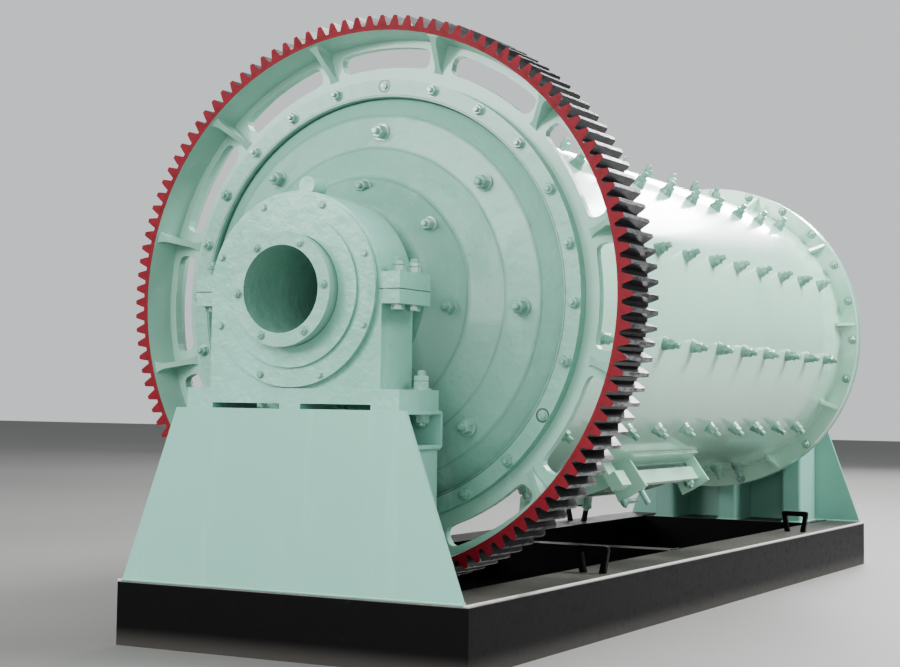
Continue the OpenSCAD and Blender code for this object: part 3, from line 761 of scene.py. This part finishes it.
def headFasteners():
    sunk = headRelief["sunkAngles"]
    flange = endRows["flange"]
    for end, plan in ends.items():
        side = plan["side"]
        for kind, row in endRows.items():
            angles = clearOf(around(row), sunk) if kind == "flange" else around(row)
            carrier = surface(end + row["on"] if "on" in row else plan["tube"])
            body, slot = ("stand", "bearing_paint") if kind == "gland" else ("drum", "head_paint")
            points = ring(carrier, side, row["radius"], angles)
            fasten(end + row["name"], points, body, fastenerSizes[kind], 7)
        points = ring(surface(end + "_head"), side, headRelief["sunkRadius"], sunk)
        fasten(end + "_sunk_bolts", points, "drum", fastenerSizes["sunk"], 16)
        angles = clearOf(around(flange), around(gussets))
        points = ring(surface(end + "_shell_flange"), -side, flange["radius"], angles)
        fasten(end + "_flange_nuts", points, "drum", fastenerSizes["flange"], 11)


headFasteners()
print("head fasteners made")

linerRows = {
    "count": 12, "first": -10.0, "start": 0.5435, "pitch": 0.2715, "inRow": 10, "sunk": 0.001,
    "hatchAngle": 27, "hatchHalf": 0.40,  # no bolts this near the hatch's middle
}


def linerBolts():
    points = []
    for angle in around(linerRows):
        for index in range(linerRows["inRow"]):
            x = frontEnd + linerRows["start"] + linerRows["pitch"] * (index + 1)
            besideHatch = abs(x - hatchX) < linerRows["hatchHalf"]
            if besideHatch and turnBetween(angle, hatch["angle"]) < linerRows["hatchAngle"]:
                continue
            points.append((onDrum(shellRadius - linerRows["sunk"], angle, x), radial(angle)))
    fasten("liner_bolts", points, "drum", fastenerSizes["liner"], 3)


linerBolts()

# Bolts of a bearing's cap and foot: x from the rail's end, y from the axis, and the faces that they clamp,
# above and below the split or the pedestal's top
bearingRows = {
    "ear": {
        "name": "_cap", "height": axisHeight, "x": (0.070, 0.160), "y": 0.308, "above": 0.048,
        "below": 0.040, "head": {"heights": (0.012, 0.0), "length": 0.014}, "seed": 5,
    },
    "foot": {
        "name": "_foot", "height": pedestalTop, "x": (0.190,), "y": 0.320, "above": 0.057,
        "below": 0.010, "head": {"heights": (0.020, 0.0), "length": 0.034}, "seed": 8,
    },
}


def bearingFasteners():
    for end, plan in ends.items():
        for kind, row in bearingRows.items():
            nuts = []
            heads = []
            for side in (-1, 1):
                for x in row["x"]:
                    place = Vector((plan["face"] - plan["side"] * x, side * row["y"], row["height"]))
                    nuts.append((place + Vector((0, 0, row["above"])), (0, 0, 1)))
                    heads.append((place - Vector((0, 0, row["below"])), (0, 0, -1)))
            sizes = fastenerSizes[kind]
            fasten(end + row["name"] + "_nuts", nuts, "stand", sizes, row["seed"])
            fasten(end + row["name"] + "_bolt_heads", heads, "stand",
                   dict(sizes, **row["head"]), row["seed"] + 1)


bearingFasteners()
print("liner and bearing fasteners made")

# Hatch hardware: four studs through the cover, and the strap beside the latch block


def hatchStuds():
    short = []
    tall = []
    for turn in (-1, 1):
        for along in (-1, 1):
            angle = hatch["angle"] + turn * hatch["studAngle"]
            place = onDrum(hatch["plateRadius"], angle, hatchX + along * hatch["studX"])
            chosen = tall if (turn, along) == (1, -1) else short
            chosen.append((place, radial(angle)))
    fasten("hatch_nuts", short, "drum", fastenerSizes["hatch"], 13)
    fasten("hatch_long_stud", tall, "drum",
           dict(fastenerSizes["hatch"], length=hatch["longStud"]), 14)


def plateBlock(name, outlines, outward, thickness, body, finish, bevel):  # plates from their outlines
    work = bmesh.new()
    for corners in outlines:
        face = work.faces.new([work.verts.new(corner) for corner in corners])
        moved = bmesh.ops.extrude_face_region(work, geom=[face])
        for item in moved["geom"]:
            if isinstance(item, bmesh.types.BMVert):
                item.co += outward * thickness
    bmesh.ops.recalc_face_normals(work, faces=work.faces)
    bmesh.ops.bevel(work, geom=list(work.edges), offset=bevel, segments=2, profile=0.5, affect="EDGES")
    mesh = bpy.data.meshes.new(name)
    work.to_mesh(mesh)
    work.free()
    made = bpy.data.objects.new(name, mesh)
    bpy.context.scene.collection.objects.link(made)
    mesh.materials.append(finish)
    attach(made, body)
    return made


def hatchStrap():  # a flat bar with round ends
    angle = hatch["strapAngle"]
    thickness = hatch["strapThickness"]
    out = radial(angle)
    along = Vector((1, 0, 0))
    across = out.cross(along)
    half = hatch["strapWidth"] / 2
    length = hatch["strapEnd"] - hatch["strapStart"]
    start = onDrum(hatch["strapRadius"], angle, hatch["strapStart"]) - out * thickness / 2
    corners = []
    steps = 6
    for end, centre in ((-1, half), (1, length - half)):
        for step in range(steps + 1):
            turn = math.pi * (step / steps - 0.5)
            offset = along * (centre + end * half * math.cos(turn)) + across * (end * half * math.sin(turn))
            corners.append(start + offset)
    plateBlock("hatch_strap", [corners], out, thickness, "drum", boltPaint,
               hatch["strapBevel"])
    place = start + along * half + out * thickness
    fasten("hatch_strap_bolt", [(place, out)], "drum", fastenerSizes["tube"], 15)


hatchStuds()
hatchStrap()
print("hatch hardware made")

# Lifting loops of bent square bar, across the rails where the photographed ones stand

liftingLoop = {
    "foot": 0.086, "top": 0.114, "height": 0.086, "bar": 0.021, "round": 0.014, "y": 0.495, "bevel": 0.003,
}


def loopOutline(x, y):
    def bend(corner, before, after, size):  # three points round a corner
        first = corner + (before - corner).normalized() * size
        last = corner + (after - corner).normalized() * size
        return [first, (first + last) / 2 * 0.4 + corner * 0.6, last]

    def point(across, up):
        return Vector((x, y + across, baseTop + up))

    foot = liftingLoop["foot"] / 2
    top = liftingLoop["top"] / 2
    bar = liftingLoop["bar"]
    rise = liftingLoop["height"]
    size = liftingLoop["round"]
    outer = [point(-foot, 0), point(-top, rise), point(top, rise), point(foot, 0)]
    inner = [point(foot - bar, 0), point(top - bar, rise - bar), point(bar - top, rise - bar),
             point(bar - foot, 0)]
    corners = [outer[0]] + bend(outer[1], outer[0], outer[2], size)
    corners += bend(outer[2], outer[1], outer[3], size) + [outer[3], inner[0]]
    corners += bend(inner[1], inner[0], inner[2], size / 2)
    corners += bend(inner[2], inner[1], inner[3], size / 2) + [inner[3]]
    return corners


def liftingLoops():
    low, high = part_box("lifting_loops")
    bar = liftingLoop["bar"]
    reach = liftingLoop["top"] / 2
    outlines = []
    for x in (low.x + reach, high.x - reach):
        for side in (-1, 1):
            outlines.append(loopOutline(x - bar / 2, side * liftingLoop["y"]))
    made = plateBlock("lifting_loops_across", outlines, Vector((1, 0, 0)), bar, "stand",
                      basePaint, liftingLoop["bevel"])
    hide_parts("lifting_loops")


liftingLoops()
print("lifting loops made")

# Weld beads: swept along paths, with the ripple of the passes

bead = {"radius": 0.0055, "small": 0.8, "sides": 7, "ripple": 0.7, "rippleScale": 110.0, "step": 0.006}


def weldTree():
    tree, graph, given = startTree("weldBeads", ["Bead Radius", "Ripple", "Ripple Scale", "Step"])
    path = graph.node("GeometryNodeMeshToCurve", {}, {"Mesh": given})
    even = graph.node("GeometryNodeResampleCurve", {"mode": "LENGTH"}, {
        "Curve": path, "Length": given.out("Step")})
    ripple = graph.node("ShaderNodeTexNoise", {"noise_dimensions": "4D"}, {
        "Vector": graph.node("GeometryNodeInputPosition"), "W": given.out("Seed"),
        "Scale": given.out("Ripple Scale"), "Detail": 2.0})
    size = given.out("Bead Radius") * (1.0 + given.out("Ripple") * (ripple - 0.5))
    profile = graph.node("GeometryNodeCurvePrimitiveCircle", {}, {
        "Resolution": bead["sides"], "Radius": 1.0})
    tube = graph.node("GeometryNodeCurveToMesh", {}, {
        "Curve": even, "Profile Curve": profile, "Scale": size, "Fill Caps": True})
    smooth = graph.node("GeometryNodeSetShadeSmooth", {}, {"Geometry": tube, "Shade Smooth": True})
    endTree(graph, smooth, given)
    return tree


beadTree = weldTree()


def weld(name, paths, body, radius, finish, seed):  # paths are (points, closed) pairs
    places = []
    edges = []
    for points, closed in paths:
        first = len(places)
        places += points
        edges += [(first + index, first + index + 1) for index in range(len(points) - 1)]
        if closed:
            edges.append((len(places) - 1, first))
    mesh = bpy.data.meshes.new(name)
    mesh.from_pydata(places, edges, [])
    line = bpy.data.objects.new(name, mesh)
    bpy.context.scene.collection.objects.link(line)
    made = realize(line, beadTree, {
        "Bead Radius": radius, "Ripple": bead["ripple"], "Ripple Scale": bead["rippleScale"],
        "Step": bead["step"], "Seed": seed, "Finish": finish})
    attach(made, body)
    return made


def outline(low, high, z):  # the corners of a box at one height
    return [Vector((low.x, low.y, z)), Vector((high.x, low.y, z)), Vector((high.x, high.y, z)),
            Vector((low.x, high.y, z))]


def pedestalWelds():
    for end in ends:
        low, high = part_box(end + "_end_plate")
        paths = []
        for x in (low.x, high.x):
            paths.append(([Vector((x, low.y, baseTop)), Vector((x, high.y, baseTop))], False))
        for leg in ("_left_leg", "_middle_leg", "_right_leg"):
            legLow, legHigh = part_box(end + leg)
            paths.append((outline(legLow, legHigh, baseTop), True))
            paths.append((outline(legLow, legHigh, legHigh.z), True))
        weld(end + "_pedestal_welds", paths, "stand", bead["radius"], platePaint, 21)


baseSeams = {"endMargin": 0.02, "foot": 0.004, "short": 0.01}  # beads stop short of edges and corners


def baseWelds():
    paths = []
    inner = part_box("left_rail")[0].y
    margin = baseSeams["endMargin"]
    short = baseSeams["short"]
    for beam in ("front_beam", "middle_beam", "rear_beam"):
        low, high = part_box(beam)
        for x in (low.x, high.x):
            for y in (-inner, inner):
                if frontEnd + margin < x < rearEnd - margin:
                    paths.append(([Vector((x, y, baseSeams["foot"])), Vector((x, y, high.z))], False))
        for y in (-inner, inner):
            paths.append(([Vector((low.x + short, y, high.z)), Vector((high.x - short, y, high.z))], False))
    weld("base_welds", paths, "stand", bead["radius"] * bead["small"], basePaint, 22)


drumSeams = {
    "flangeThickness": 0.030, "gussetHalf": 0.006, "ringStep": 3, "cornerSteps": 8,
    "neck": {"radius": 0.614, "halfAngle": 17.46, "halfLength": 0.313},
    "saddle": {"radius": 0.600, "halfAngle": 23.78, "halfLength": 0.330},
}


def flangeWelds():
    rings = []
    paths = []
    circle = range(0, 360, drumSeams["ringStep"])
    offset = math.degrees(drumSeams["gussetHalf"] / shellRadius)
    for end, plan in ends.items():
        low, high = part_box(end + "_shell_flange")
        outer, gussetEnd = (low.x, high.x) if end == "front" else (high.x, low.x)
        inner = outer - plan["side"] * drumSeams["flangeThickness"]
        rings.append(([onDrum(shellRadius, angle, inner) for angle in circle], True))
        for middle in around(gussets):
            for angle in (middle - offset, middle + offset):
                paths.append(([onDrum(shellRadius, angle, x) for x in (inner, gussetEnd)], False))
    weld("drum_ring_welds", rings, "drum", bead["radius"], drumPaint, 23)
    weld("gusset_welds", paths, "drum", bead["radius"] * bead["small"], drumPaint, 24)


def hatchWelds():
    seams = []
    steps = drumSeams["cornerSteps"]
    for seam in (drumSeams["neck"], drumSeams["saddle"]):
        path = []
        for end in (-1, 1):
            for step in range(-steps, steps + 1):
                angle = hatch["angle"] + end * step / steps * seam["halfAngle"]
                path.append(onDrum(seam["radius"], angle, hatchX + end * seam["halfLength"]))
        seams.append((path, True))
    weld("hatch_welds", seams, "drum", bead["radius"], drumPaint, 25)


pedestalWelds()
baseWelds()
flangeWelds()
hatchWelds()
print("weld beads made")

# Floor and light

studio = {
    "floor": srgb(124, 124, 122),
    "floorPale": srgb(132, 132, 130),
    "floorSize": 60.0,
    "sky": (0.90, 0.93, 0.95, 1.0),
    "skyStrength": (0.26, 0.60),  # on the mill's far side, and on the camera's
    "skyLean": (-0.95, -0.25),  # which way the camera's side lies, in X and Y
    "skyRise": (0.45, 1.35),  # at the horizon, and high up
    "skyHigh": 0.6,
    "backdropStrength": 0.85,
}
lamps = [  # place, aimed at, width, height, watts, colour
    ((-6.6, 0.6, 3.7), (-1.6, 0.0, 1.0), 4.2, 2.8, 350.0, (1.0, 0.99, 0.97)),
    ((-4.9, -2.0, 1.1), (-1.6, -0.3, 0.8), 2.0, 1.2, 48.0, (1.0, 1.0, 1.0)),
    ((2.8, -2.2, 6.2), (0.6, -0.1, 1.3), 7.0, 2.2, 560.0, (1.0, 1.0, 1.0)),
    ((13.0, 2.8, 5.0), (0.5, 0.0, 1.4), 5.0, 1.0, 700.0, (1.0, 1.0, 1.0)),
    ((13.0, -0.6, 6.8), (0.5, 0.0, 1.4), 5.0, 1.2, 700.0, (1.0, 1.0, 1.0)),
    ((3.0, -6.3, 7.6), (0.7, -0.3, 1.3), 6.5, 2.4, 1900.0, (1.0, 1.0, 1.0)),
    ((-10.5, 5.5, 3.6), (-1.9, 0.0, 1.0), 4.5, 1.4, 460.0, (1.0, 1.0, 1.0)),
]


def makeFloor():
    half = studio["floorSize"] / 2
    corners = [(-half, -half, 0), (half, -half, 0), (half, half, 0), (-half, half, 0)]
    mesh = bpy.data.meshes.new("floor")
    mesh.from_pydata(corners, [], [(0, 1, 2, 3)])
    floor = bpy.data.objects.new("floor", mesh)
    bpy.context.scene.collection.objects.link(floor)
    material, graph, place = startMaterial("floorFinish")
    patches = graph.noise(place, 0.5, 3.0)
    colour = graph.mix(patches.step(0.3, 0.7) * 0.5, studio["floor"], studio["floorPale"])
    endMaterial(graph, colour, 0.55 + 0.1 * patches, specular=0.3)
    mesh.materials.append(material)


def makeLamps():
    for index, (place, aim, width, height, power, colour) in enumerate(lamps):
        data = bpy.data.lights.new("lamp" + str(index), "AREA")
        data.shape = "RECTANGLE"
        data.size = width
        data.size_y = height
        data.energy = power
        data.color = colour
        lamp = bpy.data.objects.new(data.name, data)
        direction = Vector(aim) - Vector(place)
        lamp.rotation_euler = direction.to_track_quat("-Z", "Y").to_euler()
        lamp.location = place
        bpy.context.scene.collection.objects.link(lamp)


def makeSky():  # brighter behind the camera than behind the mill, and even where the camera sees it
    world = bpy.data.worlds.new("sky")
    world.use_nodes = True
    world.node_tree.nodes.clear()
    graph = Graph(world.node_tree)
    seen = graph.node("ShaderNodeLightPath").out("Is Camera Ray")
    x, y, z = graph.split(graph.node("ShaderNodeTexCoord").out("Generated"))
    lean = (x * studio["skyLean"][0] + y * studio["skyLean"][1]).step(-1.0, 1.0)
    rise = z.step(0.0, studio["skyHigh"])
    dim, bright = studio["skyStrength"]
    low, high = studio["skyRise"]
    lighting = (dim + (bright - dim) * lean) * (low + (high - low) * rise)
    strength = lighting + (studio["backdropStrength"] - lighting) * seen
    background = graph.node("ShaderNodeBackground", {}, {"Color": studio["sky"], "Strength": strength})
    graph.node("ShaderNodeOutputWorld", {}, [background])
    bpy.context.scene.world = world


makeFloor()
makeLamps()
makeSky()
print("studio made")
